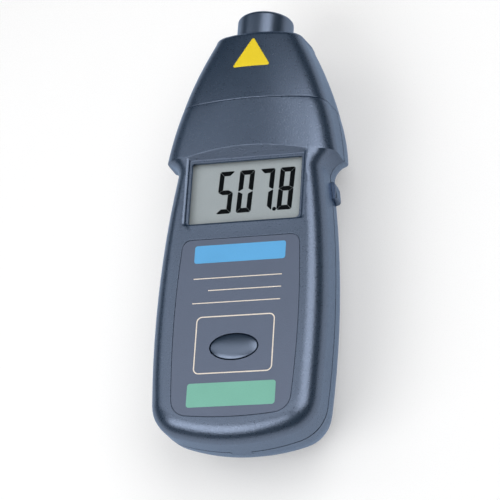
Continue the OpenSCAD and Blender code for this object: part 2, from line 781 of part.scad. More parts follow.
module trigger_button() {
    x0 = half_w(trig_y0) + trig_out;
    x1 = half_w(trig_y1) + trig_out;
    z0 = z_part - trig_h - gap;
    z1 = z_part - gap;
    color(dark_abs) {
        box([flange_x0, waist_w / 2 - 0.6], [trig_y0, trig_y1], [z0, z1]);
        intersection() {
            translate([0, 0, z0])
                linear_extrude(height = z1 - z0)
                    polygon([
                        [flange_x0, trig_y0], [x0 - 0.8, trig_y0], [x0 - 0.2, trig_y0 + 0.3],
                        [x0, trig_y0 + 0.9], [x1, trig_y1 - 0.9], [x1 - 0.2, trig_y1 - 0.3],
                        [x1 - 0.8, trig_y1], [flange_x0, trig_y1]
                    ]);
            translate([0, trig_y1 + 1, 0])
                rotate([90, 0, 0])
                    linear_extrude(height = trig_len + 2)
                        polygon([
                            [0, z0], [x1 - 1, z0], [x0 - 0.6, z0 + 0.5], [x0 + 0.1, z0 + 1.4],
                            [x0 + 0.1, z1 - 1.2], [x0 - 0.15, z1 - 0.4], [x0 - 0.6, z1], [0, z1]
                        ]);
            rotate([90, 0, 90])
                linear_extrude(height = grip_w)
                    polygon([
                        [trig_y0 - 1, z0], [trig_y1 - 2, z0], [trig_y1 - 0.8, z0 + 0.6],
                        [trig_y1 - 0.2, z0 + 1.6], [trig_y1 + 0.1, z0 + 3], [trig_y1 + 0.1, z1],
                        [trig_y0 - 1, z1]
                    ]);
        }
        difference() {
            box([flange_x0, flange_x1], [trig_y0 - trig_lip, trig_y1 + trig_lip],
                [z0 - trig_lip, z1]);
            box([flange_x0 - 1, flange_x0 + 0.5], [trig_y - trig_notch / 2, trig_y + trig_notch / 2],
                [z0 - 2 * trig_lip, z0]);
        }
    }
}

module case_screws() {
    color([0.72, 0.72, 0.7])
        for (p = boss_at)
            translate([p[0], p[1], z_well - head_t])
                difference() {
                    union() {
                        cylinder(r = head_r, h = head_t);
                        cylinder(r = pilot_r, h = head_t + screw_l);
                    }
                    translate([-head_r - 1, -0.35, -1])
                        cube([2 * head_r + 2, 0.7, 1.7]);
                    translate([-0.35, -head_r - 1, -1])
                        cube([0.7, 2 * head_r + 2, 1.7]);
                }
}

module lens_barrel() {
    s = spigot_r;
    r = snout_r;
    b = bore_r;
    color(black)
        turned([
            [b, y_tip - spigot_l], [s - 0.3, y_tip - spigot_l], [s, y_tip - spigot_l + 0.3],
            [s, y_tip], [r - 0.3, y_tip], [r, y_tip + 0.3], [r, y_rim - 1.4],
            [r - 0.1, y_rim - 0.86], [r - 0.41, y_rim - 0.41], [r - 0.86, y_rim - 0.1],
            [r - 1.4, y_rim], [b - 0.4, y_rim], [b - 0.8, y_rim - 0.4],
            [b - 0.8, y_rim - rim_lip], [b, y_rim - rim_lip]
        ]);
}

module barrel_nut() {
    color([0.75, 0.76, 0.78])
        turned([
            [spigot_r + 0.05, y_tip - wall - nut_l], [spigot_r + 1.2, y_tip - wall - nut_l],
            [spigot_r + 1.2, y_tip - wall], [spigot_r + 0.05, y_tip - wall]
        ]);
}

module barrel_window() {
    color([0.75, 0.3, 0.3])
        along_y(bore_r - 0.05, [y_rim - rim_lip - filter_t, y_rim - rim_lip]);
}

module optics_block() {
    color(black)
        difference() {
            along_y(block_r, [block_y0, block_y1]);
            along_y(rx_r, [block_y0 + rx_shelf, block_y1 + 1], 0, rx_z);
            along_y(diode_r + slip, [block_y0 - 1, block_y0 + rx_shelf + 1], 0, rx_z);
            along_y(laser_r, [block_y0 - 1, block_y1 - laser_stop], 0, laser_z);
            along_y(laser_hole_r, [block_y1 - laser_stop - 0.5, block_y1 + 1], 0, laser_z);
        }
}

module receiver_lens() {
    r = lens_d / 2;
    bulge = 8;
    color([0.85, 0.9, 0.95])
        intersection() {
            along_y(r, [block_y1 - 3, block_y1], 0, rx_z);
            translate([0, block_y1 - 0.2 - bulge, z_axis + rx_z])
                sphere(r = bulge);
        }
}

module photodiode() {
    color([0.15, 0.1, 0.12]) {
        along_y(diode_r, [block_y0, block_y0 + diode_r + slip], 0, rx_z);
        translate([0, block_y0 + diode_r + slip, z_axis + rx_z])
            sphere(r = diode_r);
    }
}

module laser_module() {
    color([0.8, 0.66, 0.35])
        difference() {
            along_y(laser_d / 2, [block_y1 - 12, block_y1 - 1.6], 0, laser_z);
            along_y(1.2, [block_y1 - 3, block_y1], 0, laser_z);
        }
}

module sensor_board() {
    color([0.1, 0.35, 0.2])
        box([-sense_w / 2, sense_w / 2], [block_y0 - sense_t, block_y0],
            [z_axis - sense_h / 2, z_axis + sense_h / 2]);
}

// Flat cable from the sensor board down to the top end of the main board
module sensor_cable() {
    t = cable_t;
    yb = block_y0 - sense_t;
    ym = pcb_y1 - cable_lap;
    za = z_axis + 2;
    color([0.75, 0.75, 0.72])
        translate([-cable_w / 2, 0, 0])
            rotate([90, 0, 90])
                linear_extrude(height = cable_w)
                    polygon([
                        [ym, z_pcb1], [pcb_y1 + 3, z_pcb1], [yb - 3, za], [yb, za],
                        [yb, za + t], [yb - 3.2, za + t], [pcb_y1 + 2.8, z_pcb1 + t],
                        [ym, z_pcb1 + t]
                    ]);
}

module main_board() {
    c = 4;
    color([0.1, 0.4, 0.22])
        difference() {
            translate([0, 0, z_pcb0])
                linear_extrude(height = pcb_t)
                    polygon([
                        [pcb_w / 2 - c, pcb_y0], [pcb_w / 2, pcb_y0 + c],
                        [pcb_w / 2, pcb_y1 - c], [pcb_w / 2 - c, pcb_y1],
                        [c - pcb_w / 2, pcb_y1], [-pcb_w / 2, pcb_y1 - c],
                        [-pcb_w / 2, pcb_y0 + c], [c - pcb_w / 2, pcb_y0]
                    ]);
            for (p = post_at)
                post(post_bore + 0.3, p[0], p[1], [z_pcb0 - 1, z_pcb1 + 1]);
        }
}

module board_screws() {
    color([0.72, 0.72, 0.7])
        for (p = post_at) {
            post(post_head_r, p[0], p[1], [z_pcb0 - post_head_t, z_pcb0]);
            post(post_bore, p[0], p[1], [z_pcb0 - post_head_t / 2, z_pcb1 + post_screw_l]);
        }
}

module lcd_panel() {
    color([0.65, 0.68, 0.66])
        box([-lcd_w / 2, lcd_w / 2], [view_y - lcd_l / 2, view_y + lcd_l / 2], [z_lcd0, z_lcd1]);
}

module lcd_frame() {
    w = lcd_w / 2;
    l = lcd_l / 2;
    color([0.85, 0.85, 0.82])
        difference() {
            box([-frame_w / 2, frame_w / 2], [view_y - frame_l / 2, view_y + frame_l / 2],
                [z_pcb1, z_lcd1]);
            box([-w - slip, w + slip], [view_y - l - slip, view_y + l + slip], [z_lcd0, z_lcd1 + 1]);
            box([-w + 4, w - 4], [view_y - l + 4.4, view_y + l - 4.4], [z_pcb1 - 1, z_lcd1]);
            for (s = [-1, 1])
                box([-w + 1 - slip, w - 1 + slip],
                    [view_y + s * zebra_y - zebra_w / 2 - slip, view_y + s * zebra_y + zebra_w / 2 + slip],
                    [z_pcb1 - 1, z_lcd0 + 1]);
        }
}

module zebra_strips() {
    color([0.85, 0.5, 0.6])
        for (s = [-1, 1])
            box([1 - lcd_w / 2, lcd_w / 2 - 1],
                [view_y + s * zebra_y - zebra_w / 2, view_y + s * zebra_y + zebra_w / 2],
                [z_pcb1, z_lcd0]);
}

module processor_chip() {
    color(black)
        box([-chip_w / 2, chip_w / 2], [chip_y0, chip_y0 + chip_w], [z_pcb0 - chip_t, z_pcb0]);
}

module crystal() {
    color([0.8, 0.8, 0.8]) {
        box([xtal_x - xtal_r, xtal_x + xtal_r], [xtal_y0, xtal_y1], [z_pcb0 - xtal_h, z_pcb0]);
        post(xtal_r, xtal_x, xtal_y0, [z_pcb0 - xtal_h, z_pcb0]);
        post(xtal_r, xtal_x, xtal_y1, [z_pcb0 - xtal_h, z_pcb0]);
    }
}

module capacitors() {
    color([0.15, 0.2, 0.4])
        for (s = [-1, 1])
            post(cap_r, s * cap_x, cap_y, [z_pcb0 - cap_h, z_pcb0]);
}

module memory_switch() {
    color([0.15, 0.15, 0.16])
        difference() {
            box([-sw_w / 2, sw_w / 2], [mem_y - sw_w / 2, mem_y + sw_w / 2], [z_pcb1, z_pcb1 + sw_h]);
            post(plunger_r + slip, 0, mem_y, [z_pcb1 + 1.2, z_pcb1 + sw_h + 1]);
        }
}

module memory_plunger() {
    color([0.85, 0.83, 0.78])
        post(plunger_r, 0, mem_y, [z_pcb1 + 1.3 + mem_travel, z_mem_tip]);
}

module trigger_switch() {
    color([0.15, 0.15, 0.16])
        difference() {
            box([tsw_x0, tsw_x1], [trig_y - 3.5, trig_y + 3.5], [trig_z - 3.5, z_pcb0]);
            translate([tsw_x0 + 1.4, trig_y, trig_z])
                rotate([0, 90, 0])
                    cylinder(r = plunger_r + slip, h = 8);
        }
}

module trigger_plunger() {
    color([0.85, 0.83, 0.78])
        translate([tsw_x0 + 1.5 + trig_travel, trig_y, trig_z])
            rotate([0, 90, 0])
                cylinder(r = plunger_r, h = flange_x0 - tsw_x0 - 1.5 - trig_travel);
}

module battery() {
    color([0.2, 0.2, 0.22]) {
        difference() {
            box([-bat_w / 2, bat_w / 2], [bat_y0, bat_y1], [bat_z0, bat_z1]);
            for (s = [-1, 1], e = [-1, 1])
                translate([s * (bat_w / 2 - bat_r), bat_y0 - 1, bat_z + e * (bat_t / 2 - bat_r)])
                    rotate([-90, 0, 0])
                        difference() {
                            translate([s > 0 ? 0 : -bat_r - 1, e > 0 ? -bat_r - 1 : 0, 0])
                                cube([bat_r + 1, bat_r + 1, bat_l + 2]);
                            cylinder(r = bat_r, h = bat_l + 2);
                        }
        }
        translate([term_x, bat_y1 - 0.5, bat_z])
            rotate([-90, 0, 0])
                cylinder(r = term_in_r, h = term_h + 0.5);
        translate([-term_x, bat_y1 - 0.5, bat_z])
            rotate([-90, 0, 0])
                cylinder(r = term_out_r, h = term_h + 0.5);
    }
}

module battery_snap() {
    color(black)
        difference() {
            box([-snap_w / 2, snap_w / 2], [snap_y0, snap_y0 + snap_t],
                [bat_z - snap_h / 2, bat_z + snap_h / 2]);
            translate([term_x, snap_y0 - 1, bat_z])
                rotate([-90, 0, 0])
                    cylinder(r = term_in_r + slip, h = term_h + 1 + slip);
            translate([-term_x, snap_y0 - 1, bat_z])
                rotate([-90, 0, 0])
                    cylinder(r = term_out_r + slip, h = term_h + 1 + slip);
        }
}

// Two leads from the snap through the bay slot and up to the board
module battery_leads() {
    r = 0.7;
    ya = snap_y0 + snap_t;
    yb = bay_y1 + bay_wall + 3;
    zl = bay_top - 2;
    color([0.7, 0.1, 0.1])
        for (s = [-1, 1]) {
            translate([s * 2, ya, zl])
                rotate([-90, 0, 0])
                    cylinder(r = r, h = yb - ya);
            translate([s * 2, yb, zl])
                sphere(r = r);
            post(r, s * 2, yb, [zl, z_pcb0]);
        }
}

front_cover();
rear_cover();
nose_cap();
battery_door();
face_label();
display_window();
memory_button();
trigger_button();
case_screws();
lens_barrel();
barrel_nut();
barrel_window();
optics_block();
receiver_lens();
photodiode();
laser_module();
sensor_board();
sensor_cable();
main_board();
board_screws();
lcd_panel();
lcd_frame();
zebra_strips();
processor_chip();
crystal();
capacitors();
memory_switch();
memory_plunger();
trigger_switch();
trigger_plunger();
battery();
battery_snap();
battery_leads();
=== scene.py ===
"""Looks of the handheld laser tachometer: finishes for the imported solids, the print on its label, the
reading behind its window, a pale studio and the camera of the photograph."""
import math

import bmesh
import bpy
from mathutils import Matrix, Vector
from mathutils.bvhtree import BVHTree


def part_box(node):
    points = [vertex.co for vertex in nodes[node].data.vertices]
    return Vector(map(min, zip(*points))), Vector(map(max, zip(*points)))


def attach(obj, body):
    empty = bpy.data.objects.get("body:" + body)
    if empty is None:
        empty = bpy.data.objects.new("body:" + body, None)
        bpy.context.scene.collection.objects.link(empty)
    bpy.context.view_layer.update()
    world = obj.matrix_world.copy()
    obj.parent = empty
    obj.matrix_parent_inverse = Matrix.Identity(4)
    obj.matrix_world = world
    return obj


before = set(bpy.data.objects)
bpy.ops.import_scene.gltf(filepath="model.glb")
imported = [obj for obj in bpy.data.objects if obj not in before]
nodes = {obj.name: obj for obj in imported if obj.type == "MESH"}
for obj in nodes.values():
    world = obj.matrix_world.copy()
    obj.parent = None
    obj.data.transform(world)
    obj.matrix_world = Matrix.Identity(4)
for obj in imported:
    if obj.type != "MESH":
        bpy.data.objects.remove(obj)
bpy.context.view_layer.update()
scene = bpy.context.scene
MM = 0.001  # sizes of pieces are in millimetres, those of the studio in metres


# Camera, fitted to the outline in the photograph

CAMERA_RIGHT = Vector((0.948706, 0.059873, -0.310439))
CAMERA_UP = Vector((0.064076, 0.925114, 0.374243))
CAMERA_PLACE = Vector((0.263319, -0.327259, 0.772586))

camera_data = bpy.data.cameras.new("photo_camera")
camera_data.sensor_width = 36.0
camera_data.lens = 180.0
camera_data.clip_start = 0.01
camera_data.clip_end = 50.0
camera = bpy.data.objects.new("photo_camera", camera_data)
scene.collection.objects.link(camera)
camera_back = CAMERA_RIGHT.cross(CAMERA_UP).normalized()
camera_up = camera_back.cross(CAMERA_RIGHT).normalized()
camera_axes = Matrix((CAMERA_RIGHT, camera_up, camera_back)).transposed()
camera.matrix_world = Matrix.Translation(CAMERA_PLACE) @ camera_axes.to_4x4()
scene.camera = camera


# Materials

NOISE_LOW, NOISE_HIGH = 0.3, 0.7  # the span of a noise value that its ramps use
PAINTED_HOLLOW_SHADE, PAINTED_HOLLOW_SHARE = 0.82, 0.35  # how dark the shade painted into the grain's hollows is, and how much of that shows
BUMP_STRENGTH = 0.6
LEAST_ROUGH = 0.02
COAT_ROUGH = 0.1
FILM_IOR = 1.03
EDGE_SAMPLES = 6


def srgb(r, g, b):
    """Colour written as 0 to 255, as linear light."""
    def line(v):
        v = v / 255
        return v / 12.92 if v <= 0.04045 else ((v + 0.055) / 1.055) ** 2.4
    return (line(r), line(g), line(b), 1.0)


def scaled(colour, f):
    return tuple(min(1.0, c * f) for c in colour[:3]) + (1.0,)


def add_node(tree, kind, values=None):
    """New shader node, with the values of its input sockets by name."""
    node = tree.nodes.new("ShaderNode" + kind)
    for socket, value in (values or {}).items():
        node.inputs[socket].default_value = value
    return node


def noise(tree, source, scale, detail):
    node = add_node(tree, "TexNoise", {"Scale": scale, "Detail": detail})
    tree.links.new(source, node.inputs["Vector"])
    return node.outputs["Fac"]


def ramp(tree, source, low, high):
    """Colour that goes from low to high with a noise value."""
    node = add_node(tree, "ValToRGB")
    for element, at, colour in zip(node.color_ramp.elements, (NOISE_LOW, NOISE_HIGH), (low, high)):
        element.position = at
        element.color = colour
    tree.links.new(source, node.inputs["Fac"])
    return node.outputs["Color"]


def multiplied(tree, first, second, share):
    node = add_node(tree, "MixRGB", {"Fac": share})
    node.blend_type = "MULTIPLY"
    tree.links.new(first, node.inputs["Color1"])
    tree.links.new(second, node.inputs["Color2"])
    return node.outputs["Color"]


def finish(name, colour, rough, spread=0.06, cloud=90, grain=2200, relief=0.02, rough_spread=0.06,
           metal=0.0, specular=0.5, ior=1.5, sheen_tint=None, alpha=1.0, coat=0.0, film=None,
           stretch=None, tint=None, edge=0.0):
    """A material whose colour drifts in soft clouds from colour to tint, with a fine grain in its relief
    and gloss, and shade painted into the grain's hollows. film tints what it reflects, more so at a
    glance; edge is the radius in mm at which its
    sharp edges catch the light; stretch scales the pattern along each axis."""
    mat = bpy.data.materials.new(name)
    mat.use_nodes = True
    tree = mat.node_tree
    tree.nodes.clear()
    out = add_node(tree, "OutputMaterial")
    bsdf = add_node(tree, "BsdfPrincipled", {
        "Metallic": metal, "Specular IOR Level": specular, "IOR": ior, "Alpha": alpha,
        "Coat Weight": coat, "Coat Roughness": COAT_ROUGH,
    })
    tree.links.new(bsdf.outputs["BSDF"], out.inputs["Surface"])
    if sheen_tint:
        bsdf.inputs["Specular Tint"].default_value = sheen_tint + (1.0,)
    if film:
        bsdf.inputs["Coat Weight"].default_value = 1.0
        bsdf.inputs["Coat Roughness"].default_value = rough
        bsdf.inputs["Coat IOR"].default_value = FILM_IOR
        bsdf.inputs["Coat Tint"].default_value = film + (1.0,)

    source = add_node(tree, "TexCoord").outputs["Object"]
    if stretch:
        mapping = add_node(tree, "Mapping", {"Scale": stretch})
        tree.links.new(source, mapping.inputs["Vector"])
        source = mapping.outputs["Vector"]
    clouds = noise(tree, source, cloud, 3.0)
    fine = noise(tree, source, grain, 2.0)

    drift = ramp(tree, clouds, scaled(colour, 1 - spread), scaled(tint or colour, 1 + spread))
    # Base colour darkened where the fine grain's relief is low: painted shade in the grain's hollows
    painted_hollow_shade = ramp(tree, fine, (PAINTED_HOLLOW_SHADE, PAINTED_HOLLOW_SHADE, PAINTED_HOLLOW_SHADE, 1), (1, 1, 1, 1))
    tree.links.new(multiplied(tree, drift, painted_hollow_shade, PAINTED_HOLLOW_SHARE), bsdf.inputs["Base Color"])

    gloss = add_node(tree, "MapRange", {
        "From Min": NOISE_LOW, "From Max": NOISE_HIGH,
        "To Min": max(LEAST_ROUGH, rough - rough_spread), "To Max": min(1.0, rough + rough_spread),
    })
    tree.links.new(fine, gloss.inputs["Value"])
    tree.links.new(gloss.outputs["Result"], bsdf.inputs["Roughness"])

    bump = add_node(tree, "Bump", {"Strength": BUMP_STRENGTH, "Distance": relief * MM})
    tree.links.new(fine, bump.inputs["Height"])
    if edge:
        worn = add_node(tree, "Bevel", {"Radius": edge * MM})
        worn.samples = EDGE_SAMPLES
        tree.links.new(worn.outputs["Normal"], bump.inputs["Normal"])
    tree.links.new(bump.outputs["Normal"], bsdf.inputs["Normal"])
    if film:
        tree.links.new(bump.outputs["Normal"], bsdf.inputs["Coat Normal"])
    return mat


GLOSS = (0.75, 0.82, 1.0)
LABEL_GLOSS = (0.68, 0.77, 1.0)
FILM = (0.85, 0.92, 1.0)

case_mat = finish("case_abs", srgb(28, 44, 58), 0.31, grain=2100, relief=0.07, rough_spread=0.05,
                  tint=srgb(30, 46, 60), specular=1.0, ior=1.84, sheen_tint=GLOSS, film=FILM, edge=0.3)
button_mat = finish("button_abs", srgb(26, 40, 52), 0.32, grain=2400, relief=0.04, rough_spread=0.03,
                    specular=1.0, ior=1.85, sheen_tint=GLOSS, film=FILM, edge=0.2)
label_mat = finish("label_film", srgb(47, 59, 77), 0.4, grain=2000, relief=0.08, rough_spread=0.05,
                   specular=1.0, ior=1.8, sheen_tint=LABEL_GLOSS)
barrel_mat = finish("barrel_abs", srgb(26, 42, 54), 0.31, relief=0.03, rough_spread=0.03, specular=1.0,
                    ior=1.9, sheen_tint=GLOSS, film=FILM, edge=0.2)
black_mat = finish("black_moulding", srgb(30, 31, 34), 0.5, relief=0.02)
window_mat = finish("clear_window", srgb(120, 128, 128), 0.06, spread=0.02, relief=0.001,
                    rough_spread=0.02, alpha=0.008)
lcd_mat = finish("lcd_reflector", srgb(158, 166, 169), 0.6, spread=0.02, cloud=60, relief=0.004,
                 specular=0.1)
segment_mat = finish("lcd_segment", srgb(5, 8, 11), 0.6, spread=0.1, relief=0.002, specular=0.02)
red_mat = finish("red_filter", srgb(120, 14, 20), 0.08, spread=0.05, relief=0.001, rough_spread=0.03,
                 coat=0.5)
lens_mat = finish("lens_glass", srgb(190, 205, 215), 0.05, spread=0.02, relief=0.001,
                  rough_spread=0.02, coat=0.6)
steel_mat = finish("zinc_steel", srgb(176, 176, 170), 0.32, metal=1.0, stretch=(1, 1, 6), relief=0.01)
brass_mat = finish("turned_brass", srgb(190, 150, 84), 0.28, metal=1.0, stretch=(1, 8, 1), relief=0.01)
can_mat = finish("drawn_can", srgb(188, 190, 194), 0.25, metal=1.0, relief=0.006)
board_mat = finish("solder_mask", srgb(22, 84, 48), 0.35, spread=0.12, cloud=500, relief=0.015, coat=0.2)
cable_mat = finish("ribbon_cable", srgb(176, 176, 170), 0.5, stretch=(9, 1, 1), cloud=240, spread=0.14)
frame_mat = finish("cream_moulding", srgb(206, 205, 196), 0.5, relief=0.02)
zebra_mat = finish("contact_rubber", srgb(196, 116, 124), 0.7, stretch=(14, 1, 1), cloud=160,
                   spread=0.25)
sleeve_mat = finish("shrunk_sleeve", srgb(28, 34, 74), 0.3, relief=0.008)
plunger_mat = finish("natural_nylon", srgb(206, 200, 186), 0.4, relief=0.01)
battery_mat = finish("battery_sleeve", srgb(52, 53, 58), 0.3, relief=0.006, coat=0.3)
lead_mat = finish("lead_insulation", srgb(150, 26, 26), 0.45, relief=0.01)
blue_mat = finish("blue_print", srgb(94, 169, 221), 0.55, spread=0.03, relief=0.006, grain=3000,
                  specular=0.3)
green_mat = finish("green_print", srgb(121, 182, 164), 0.55, spread=0.03, relief=0.006, grain=3000,
                   specular=0.3)
cream_mat = finish("cream_print", srgb(233, 222, 208), 0.55, spread=0.04, relief=0.004, specular=0.3)
yellow_mat = finish("yellow_film", srgb(236, 208, 40), 0.5, spread=0.03, relief=0.006, grain=3000,
                    specular=0.3)

FINISHES = {
    "front_cover": case_mat, "rear_cover": case_mat, "nose_cap": case_mat, "battery_door": case_mat,
    "face_label": label_mat, "display_window": window_mat, "memory_button": button_mat,
    "trigger_button": case_mat, "case_screws": steel_mat, "lens_barrel": barrel_mat,
    "barrel_nut": steel_mat, "barrel_window": red_mat, "optics_block": black_mat,
    "receiver_lens": lens_mat, "photodiode": black_mat, "laser_module": brass_mat,
    "sensor_board": board_mat, "sensor_cable": cable_mat, "main_board": board_mat,
    "board_screws": steel_mat, "lcd_panel": lcd_mat, "lcd_frame": frame_mat, "zebra_strips": zebra_mat,
    "processor_chip": black_mat, "crystal": can_mat, "capacitors": sleeve_mat,
    "memory_switch": black_mat, "memory_plunger": plunger_mat, "trigger_switch": black_mat,
    "trigger_plunger": plunger_mat, "battery": battery_mat, "battery_snap": black_mat,
    "battery_leads": lead_mat,
}

CRISP_ANGLE = 28  # edges sharper than this many degrees stay crisp
WELD_MM = 0.002
NORMAL_WEIGHT = 80


def dress(obj, mat):
    """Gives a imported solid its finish, with soft shading over small angles and crisp edges elsewhere."""
    mesh = obj.data
    mesh.materials.clear()
    mesh.materials.append(mat)
    if mesh.has_custom_normals:
        with bpy.context.temp_override(object=obj, active_object=obj, selected_objects=[obj]):
            bpy.ops.mesh.customdata_custom_splitnormals_clear()
    smooth(mesh)
    weld = obj.modifiers.new("weld", "WELD")
    weld.merge_threshold = WELD_MM * MM
    split = obj.modifiers.new("crisp_edges", "EDGE_SPLIT")
    split.split_angle = math.radians(CRISP_ANGLE)
    normals = obj.modifiers.new("flat_stays_flat", "WEIGHTED_NORMAL")
    normals.mode = "FACE_AREA"
    normals.weight = NORMAL_WEIGHT
    normals.keep_sharp = True


def smooth(mesh):
    mesh.polygons.foreach_set("use_smooth", [True] * len(mesh.polygons))


for node_name, node_mat in FINISHES.items():
    dress(nodes[node_name], node_mat)


# New pieces

def add_piece(name, bm, mat, body):
    bmesh.ops.recalc_face_normals(bm, faces=bm.faces)
    mesh = bpy.data.meshes.new(name)
    bm.to_mesh(mesh)
    bm.free()
    mesh.materials.append(mat)
    obj = bpy.data.objects.new(name, mesh)
    scene.collection.objects.link(obj)
    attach(obj, body)
    return obj


def vert(bm, x, y, z):
    return bm.verts.new((x * MM, y * MM, z * MM))


def join_loops(bm, a, b):
    """Band of faces between two closed loops with the same number of points."""
    for i in range(len(a)):
        k = (i + 1) % len(a)
        bm.faces.new((a[i], a[k], b[k], b[i]))


def plate(bm, outline, z0, z1):
    """Closed flat plate from an outline in mm."""
    low = [vert(bm, x, y, z0) for x, y in outline]
    high = [vert(bm, x, y, z1) for x, y in outline]
    bm.faces.new(low[::-1])
    bm.faces.new(high)
    join_loops(bm, low, high)


def ring(bm, outer, inner, z0, z1):
    """Closed flat ring between two outlines with the same number of points."""
    loops = [[vert(bm, x, y, z) for x, y in line]
             for line, z in ((outer, z0), (outer, z1), (inner, z1), (inner, z0))]
    for a, b in zip(loops, loops[1:] + loops[:1]):
        join_loops(bm, a, b)


def arc_points(cx, cy, r, start, end, n):
    """Points on an arc, its angles in degrees."""
    angles = [math.radians(start + (end - start) * k / n) for k in range(n + 1)]
    return [(cx + r * math.cos(a), cy + r * math.sin(a)) for a in angles]


def round_box(x0, x1, y0, y1, r):
    centres = ((x1 - r, y1 - r), (x0 + r, y1 - r), (x0 + r, y0 + r), (x1 - r, y0 + r))
    points = []
    for quarter, (cx, cy) in enumerate(centres):
        points += arc_points(cx, cy, r, 90 * quarter, 90 * quarter + 90, 6)
    return points


# Reading on the display

DIGIT_W, DIGIT_H, BAR, LEAN = 5.35, 15.7, 1.7, 0.048
DIGITS_Y = 2.8
DIGITS = ((-10.9, "afgcd"), (-3.7, "abcdef"), (3.6, "abc"), (10.8, "abcdefg"))  # left edge, lit bars
POINT_X, POINT_Y, POINT_R = 10.02, 3.35, 0.72
SUNK, SEGMENT_RISE = 0.01, 0.04  # how far print reaches into its base, and a segment out of the glass


def segment_outlines():
    """The seven bars of a digit, in its own frame."""
    w, h, t = DIGIT_W, DIGIT_H, BAR
    m = h / 2
    top = [(0.55, h), (w - 0.55, h), (w - 0.2, h - 0.25), (w - t + 0.05, h - t), (t - 0.05, h - t),
           (0.2, h - 0.25)]
    mid = [(0.2, m), (t, m + t / 2), (w - t, m + t / 2), (w - 0.2, m), (w - t, m - t / 2),
           (t, m - t / 2)]
    side = [(0, m + 0.4), (0, h - 0.6), (0.14, h - 0.3), (t, h - t - 0.13), (t, m + t / 2 + 0.09),
            (0.25, m + 0.1)]

    def flip_x(line):
        return [(w - x, y) for x, y in line][::-1]

    def flip_y(line):
        return [(x, h - y) for x, y in line][::-1]

    return {"a": top, "d": flip_y(top), "g": mid, "f": side, "b": flip_x(side), "e": flip_y(side),
            "c": flip_y(flip_x(side))}


lcd_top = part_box("lcd_panel")[1].z / MM
bars = segment_outlines()
lit_shapes = [[(left + x + LEAN * y, DIGITS_Y + y) for x, y in bars[key]]
              for left, lit in DIGITS for key in lit]
lit_shapes.append(arc_points(POINT_X, POINT_Y, POINT_R, 0, 340, 17))
bm = bmesh.new()
for shape in lit_shapes:
    plate(bm, shape, lcd_top - SUNK, lcd_top + SEGMENT_RISE)
add_piece("reading_segments", bm, segment_mat, "case")


# Rounded corners of the display opening

OPENING_X, OPENING_Y0, OPENING_Y1 = 19.82, -1.42, 21.32
OPENING_Z0, OPENING_Z1 = 37.32, 38.48
CORNERS = ((OPENING_X, OPENING_Y0, 1.5), (-OPENING_X, OPENING_Y0, 0.9),
           (OPENING_X, OPENING_Y1, 0.8), (-OPENING_X, OPENING_Y1, 0.8))  # place and radius

bm = bmesh.new()
for x, y, r in CORNERS:
    sx, sy = math.copysign(1, x), math.copysign(1, y)
    arc = [(x - sx * r * (1 - math.cos(math.radians(a))), y - sy * r * (1 - math.sin(math.radians(a))))
           for a in range(0, 91, 10)]
    plate(bm, [(x, y)] + arc, OPENING_Z0, OPENING_Z1)
add_piece("display_corners", bm, case_mat, "case")


# Print on the label

PRINT_RISE = 0.025
BLUE_BAR = (-16.1, 16.1, -16.4, -10.0, 0.9)  # x0, x1, y0, y1, corner radius
GREEN_BAR = (-15.4, 15.4, -67.6, -59.3, 1.0)
FRAME_OUTER = (-13.8, 13.8, -56.1, -35.7, 2.0)
FRAME_INNER = (-13.4, 13.4, -55.7, -36.1, 1.6)
RULES = ((-15.9, 15.3, -22.0), (-10.4, 15.3, -26.4), (-15.7, 15.2, -30.85))  # x0, x1, y
RULE_HALF = 0.16

label_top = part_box("face_label")[1].z / MM
ink = (label_top - SUNK, label_top + PRINT_RISE)

for name, bar, mat in (("label_bar_blue", BLUE_BAR, blue_mat),
                       ("label_bar_green", GREEN_BAR, green_mat)):
    bm = bmesh.new()
    plate(bm, round_box(*bar), *ink)
    add_piece(name, bm, mat, "case")

bm = bmesh.new()
ring(bm, round_box(*FRAME_OUTER), round_box(*FRAME_INNER), *ink)
add_piece("label_button_frame", bm, cream_mat, "case")

bm = bmesh.new()
for x0, x1, y in RULES:
    plate(bm, [(x0, y - RULE_HALF), (x1, y - RULE_HALF), (x1, y + RULE_HALF), (x0, y + RULE_HALF)], *ink)
add_piece("label_rules", bm, cream_mat, "case")


# Patch on the nose

PATCH_APEX_Y, PATCH_BASE_Y, PATCH_HALF, PATCH_R = 67.4, 55.8, 6.9, 0.55
PATCH_STEP = 0.8
PATCH_T, PATCH_SINK = 0.12, 0.02
PATCH_RINGS = ((1.0, 0.0), (1.0, 0.09), (0.985, PATCH_T), (0.8, PATCH_T), (0.6, PATCH_T),
               (0.4, PATCH_T), (0.2, PATCH_T))  # size of each ring, and its height above the nose
ABOVE_NOSE = 0.1  # height in metres from which the nose is sought

nose_mesh = nodes["nose_cap"].data
nose_tree = BVHTree.FromPolygons([v.co.copy() for v in nose_mesh.vertices],
                                 [tuple(p.vertices) for p in nose_mesh.polygons])


def nose_z(x, y):
    """Height of the nose cap's surface."""
    hit = nose_tree.ray_cast(Vector((x * MM, y * MM, ABOVE_NOSE)), Vector((0, 0, -1)))
    return hit[0].z / MM


def round_triangle(apex_y, base_y, half, r):
    """Outline of a triangle with corners rounded to r, and the height y of the middle of its inscribed
    circle, which lies on x = 0."""
    height = apex_y - base_y
    inset = half * height / (half + math.hypot(half, height))
    centre_y = base_y + inset
    shrink = (inset - r) / inset
    low_y = centre_y + (base_y - centre_y) * shrink
    slope = math.degrees(math.atan2(height, half))
    outline = arc_points(half * shrink, low_y, r, -90, 90 - slope, 6)
    outline += arc_points(0, centre_y + (apex_y - centre_y) * shrink, r, 90 - slope, 90 + slope, 6)
    outline += arc_points(-half * shrink, low_y, r, 90 + slope, 270, 6)
    return outline, centre_y


def divided(outline, step):
    """The same outline, with points about a step apart on its long sides."""
    points = []
    for p, q in zip(outline, outline[1:] + outline[:1]):
        n = max(1, int(math.hypot(q[0] - p[0], q[1] - p[1]) / step))
        points += [(p[0] + (q[0] - p[0]) * k / n, p[1] + (q[1] - p[1]) * k / n) for k in range(n)]
    return points


